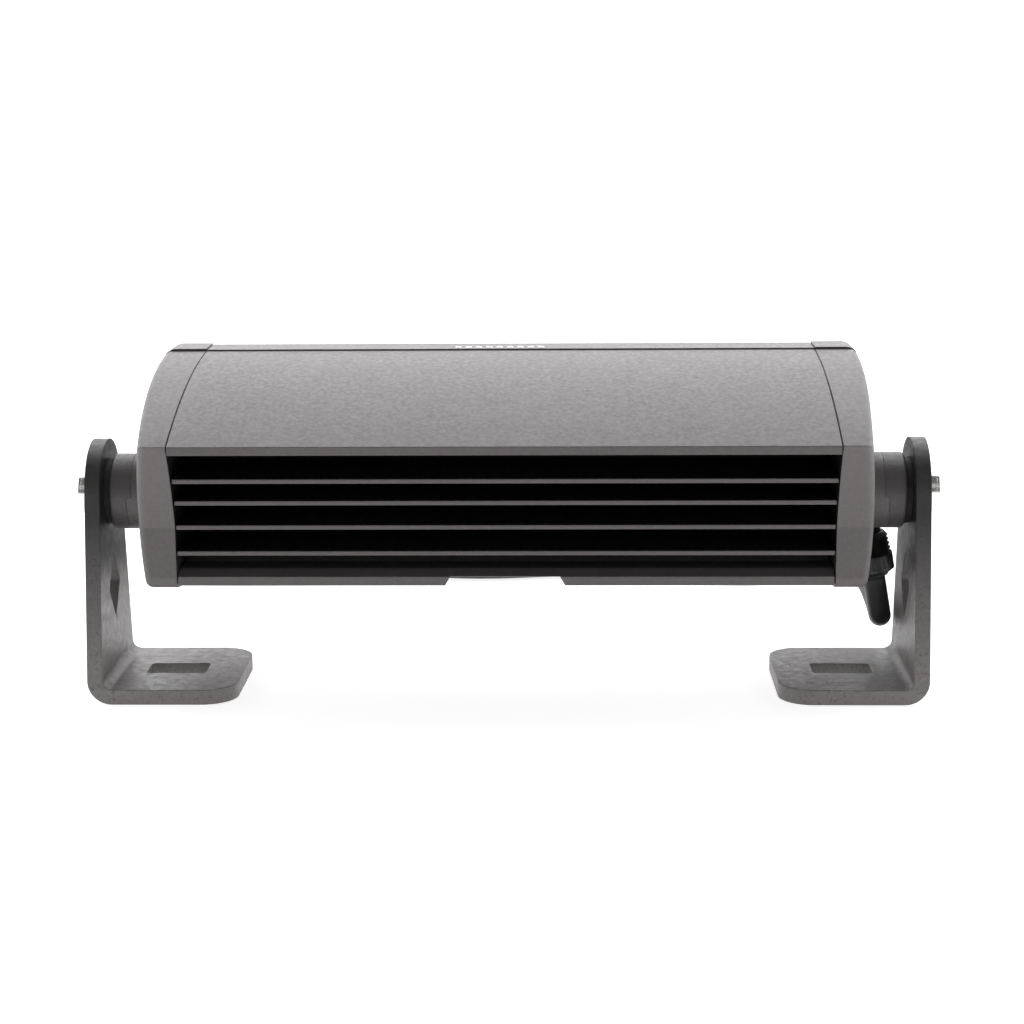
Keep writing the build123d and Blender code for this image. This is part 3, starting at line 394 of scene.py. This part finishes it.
def circuit(name, mask_color, track_color, scale):
    """A printed board: solder mask, a faint grid of tracks and pale pads."""
    paint = Paint(name)
    brick = paint.tree.nodes.new("ShaderNodeTexBrick")
    brick.inputs["Scale"].default_value = scale
    brick.inputs["Mortar Size"].default_value = 0.022
    paint.link(paint.place(), brick.inputs["Vector"])
    pads = paint.span(paint.cells(scale * 1.3), 0.10, 0.16, 1.0, 0.0)
    tone = paint.mix(brick.outputs["Fac"], mask_color, track_color)
    tone = paint.mix(paint.math("MULTIPLY", pads, 0.7), tone, (0.72, 0.70, 0.62))
    paint.feed(tone, "Base Color")
    paint.feed(paint.span(paint.noise(500.0, 2.0), 0.3, 0.7, 0.22, 0.38), "Roughness")
    paint.feed(paint.bump(brick.outputs["Fac"], 0.3, 0.00005), "Normal")
    return paint.material


DOME_Y = 0.00880


def emitter(name):
    """A white ceramic package with a phosphor square under a glossy dome."""
    paint = Paint(name)
    dome = paint.math("GREATER_THAN", paint.axes()[1], DOME_Y)
    phosphor = paint.mix(paint.noise(2600.0, 3.0), (0.80, 0.56, 0.06), (0.95, 0.76, 0.16))
    paint.feed(paint.mix(dome, (0.84, 0.84, 0.80), phosphor), "Base Color")
    paint.feed(paint.span(dome, 0.0, 1.0, 0.45, 0.12), "Roughness")
    paint.set(Coat_Weight=0.6, Coat_Roughness=0.04)
    return paint.material


def insulated_wire(name, color):
    paint = Paint(name)
    tone = paint.span(paint.noise(200.0, 2.0), 0.3, 0.7, 0.0, 1.0)
    paint.feed(paint.mix(tone, color, tuple(min(1.0, c * 1.3) for c in color)), "Base Color")
    paint.feed(paint.span(paint.noise(500.0, 2.0), 0.3, 0.7, 0.32, 0.45), "Roughness")
    return paint.material


BODY_GREY = (0.104, 0.094, 0.095)
BRACKET_GREY = (0.190, 0.177, 0.175)
SHADES = {
    "body_coat": powder_coat("body_coat", BODY_GREY, 2200.0, 0.10, painted_bay_shade=True),
    "bezel_coat": powder_coat("bezel_coat", BODY_GREY, 2200.0, 0.10),
    "bracket_coat": powder_coat("bracket_coat", BRACKET_GREY, 1250.0, 0.22, blotches_and_painted_top_shade=True),
    "spacer_metal": powder_coat("spacer_metal", (0.080, 0.074, 0.074), 2200.0, 0.10),
    "black_rubber": rubber("black_rubber", (0.012, 0.012, 0.012)),
    "stainless": metal("stainless", (0.80, 0.79, 0.77), (0.10, 0.24), (1.0, 0.1, 0.1)),
    "screw_black": metal("screw_black", (0.07, 0.07, 0.07), (0.30, 0.45)),
    "screw_zinc": metal("screw_zinc", (0.62, 0.63, 0.62), (0.25, 0.40)),
    "lens_clear": clear_lens("lens_clear"),
    "reflector_mirror": mirror_cups("reflector_mirror"),
    "thermal_grey": rubber("thermal_grey", (0.30, 0.31, 0.33), (0.6, 0.8)),
    "board_white": circuit("board_white", (0.74, 0.75, 0.72), (0.60, 0.61, 0.58), 170.0),
    "emitter_yellow": emitter("emitter_yellow"),
    "board_green": circuit("board_green", (0.012, 0.085, 0.032), (0.03, 0.16, 0.06), 260.0),
    "component_black": moulded("component_black", (0.018, 0.018, 0.018)),
    "capacitor_metal": metal("capacitor_metal", (0.66, 0.67, 0.70), (0.22, 0.35), (0.15, 1.0, 1.0)),
    "wire_red": insulated_wire("wire_red", (0.42, 0.012, 0.010)),
    "wire_black": insulated_wire("wire_black", (0.016, 0.016, 0.016)),
    "gland_nylon": moulded("gland_nylon", (0.014, 0.014, 0.014), (0.32, 0.48)),
    "cable_black": rubber("cable_black", (0.016, 0.016, 0.017), (0.36, 0.52), 1400.0, 0.00005),
    "plug_black": moulded("plug_black", (0.016, 0.016, 0.017), (0.36, 0.52), 1300.0),
    "seal_orange": rubber("seal_orange", (0.50, 0.13, 0.02), (0.4, 0.55)),
    "wedge_orange": moulded("wedge_orange", (0.62, 0.20, 0.02)),
    "contact_metal": metal("contact_metal", (0.78, 0.74, 0.62), (0.18, 0.30)),
}


def coat(piece, slot):
    piece.data.materials.clear()
    piece.data.materials.append(SHADES[slot])


for part in frame["record"]["subparts"]:
    node = NODES[part["node"]]
    coat(node, part["material_slot"])
coat(lead, "cable_black")

# ---------------------------------------------------------------- marks on the top bezel

MARK_COUNT = 9
MARK_PITCH = 0.0036
MARK_SIZE = (0.0022, 0.0026, 0.0003)
MARK_CORNER_R = 0.0007
MARK_RIM = 0.00012
MARK_SINK = 0.00002
MARKS_MIDDLE_X = -0.0035
MARKS_FROM_EDGE = 0.0034


def rounded_pad(mesh, centre, size, corner):
    """A raised pad with rounded corners and a bevelled rim, standing on centre."""
    half_x, half_y, high = size[0] / 2, size[1] / 2, size[2]
    rings = []
    for inset, lift in ((0.0, 0.0), (0.0, 0.6 * high), (MARK_RIM, high)):
        ring = []
        for quarter in range(4):
            cx = (half_x - corner) * (1 if quarter in (0, 3) else -1)
            cy = (half_y - corner) * (1 if quarter in (0, 1) else -1)
            for step in range(5):
                angle = math.pi / 2 * (quarter + step / 4)
                reach = corner - inset
                place = Vector((cx + reach * math.cos(angle), cy + reach * math.sin(angle), lift))
                ring.append(mesh.verts.new(centre + place))
        rings.append(ring)
    count = len(rings[0])
    for low, high_ring in zip(rings, rings[1:]):
        for step in range(count):
            after = (step + 1) % count
            mesh.faces.new((low[step], low[after], high_ring[after], high_ring[step]))
    mesh.faces.new(rings[-1])
    mesh.faces.new(list(reversed(rings[0])))


def add_marks():
    """A plain row of raised pads in place of a badge."""
    low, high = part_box("bezel_top")
    base_z = high.z - MARK_SINK
    mesh = bmesh.new()
    for index in range(MARK_COUNT):
        x = MARKS_MIDDLE_X + (index - (MARK_COUNT - 1) / 2) * MARK_PITCH
        centre = Vector((x, low.y + MARKS_FROM_EDGE, base_z))
        rounded_pad(mesh, centre, MARK_SIZE, MARK_CORNER_R)
    data = bpy.data.meshes.new("bezel_marks")
    mesh.to_mesh(data)
    mesh.free()
    piece = bpy.data.objects.new("bezel_marks", data)
    SCENE.collection.objects.link(piece)
    piece.data.materials.append(metal("mark_metal", (0.80, 0.80, 0.80), (0.25, 0.4)))
    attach(piece, "lamp")


add_marks()

# ---------------------------------------------------------------- stage and light

FLOOR_COLOR = (0.72, 0.72, 0.72)
FLOOR_PALE = (0.75, 0.75, 0.75)
FLOOR_NEAR_Y = -3.0
FLOOR_FAR_Y = 1.2
FLOOR_HALF_X = 4.0
FLOOR_BELOW = 0.0002
BEND_R = 0.8
BEND_STEPS = 12
WALL_TOP_Z = 3.5
FLOOR_GLOW = 0.78
WALL_GLOW = 2.2
GLOW_FROM_Z = 0.05
GLOW_TO_Z = 0.60
WORLD_STRENGTH = 0.18


def add_floor():
    """A pale sweep: floor, a wide bend and a wall behind the object."""
    profile = [(FLOOR_NEAR_Y, 0.0), (FLOOR_FAR_Y, 0.0)]
    for step in range(1, BEND_STEPS + 1):
        angle = math.pi / 2 * step / BEND_STEPS
        y = FLOOR_FAR_Y + BEND_R * math.sin(angle)
        profile.append((y, BEND_R * (1 - math.cos(angle))))
    profile.append((FLOOR_FAR_Y + BEND_R, WALL_TOP_Z))
    mesh = bmesh.new()
    rows = []
    for x in (-FLOOR_HALF_X, FLOOR_HALF_X):
        rows.append([mesh.verts.new((x, y, z - FLOOR_BELOW)) for y, z in profile])
    for index in range(len(profile) - 1):
        mesh.faces.new((rows[0][index], rows[1][index], rows[1][index + 1], rows[0][index + 1]))
    data = bpy.data.meshes.new("floor")
    mesh.to_mesh(data)
    mesh.free()
    for face in data.polygons:
        face.use_smooth = True
    floor = bpy.data.objects.new("floor", data)
    SCENE.collection.objects.link(floor)
    paint = Paint("floor_paper")
    paint.set(Roughness=0.9, Specular_IOR_Level=0.1, Emission_Color=(1.0, 1.0, 1.0, 1.0))
    height = paint.axes()[2]
    glow = paint.span(height, GLOW_FROM_Z, GLOW_TO_Z, FLOOR_GLOW, WALL_GLOW)
    paint.feed(glow, "Emission Strength")
    tone = paint.span(paint.noise(3.0, 2.0), 0.3, 0.7, 0.0, 1.0)
    paint.feed(paint.mix(tone, FLOOR_COLOR, FLOOR_PALE), "Base Color")
    data.materials.append(paint.material)


# Name, place, target, size in metres and power in watts
LIGHTS = (
    ("top_soft", (0.0, 0.45, 1.25), (0.0, 0.0, 0.05), (1.6, 1.0), 10.0),
    ("left_soft", (-1.20, 0.15, 0.45), (-0.10, 0.0, 0.06), (0.6, 0.9), 4.0),
    ("right_soft", (1.20, 0.15, 0.45), (0.10, 0.0, 0.06), (0.6, 0.9), 4.0),
    ("fill_soft", (0.0, -1.50, 0.95), (0.0, 0.0, 0.06), (1.2, 0.7), 1.0),
)


def add_light(name, place, target, size, power):
    data = bpy.data.lights.new(name, "AREA")
    data.shape = "RECTANGLE"
    data.size, data.size_y = size
    data.energy = power
    light = bpy.data.objects.new(name, data)
    SCENE.collection.objects.link(light)
    light.location = place
    toward = Vector(target) - Vector(place)
    light.rotation_euler = toward.to_track_quat("-Z", "Y").to_euler()


def add_world():
    world = bpy.data.worlds.new("studio")
    world.use_nodes = True
    background = world.node_tree.nodes["Background"]
    background.inputs["Color"].default_value = (1.0, 1.0, 1.0, 1.0)
    background.inputs["Strength"].default_value = WORLD_STRENGTH
    SCENE.world = world


add_floor()
add_world()
for name, place, target, size, power in LIGHTS:
    add_light(name, place, target, size, power)
SCENE.view_settings.view_transform = "Standard"
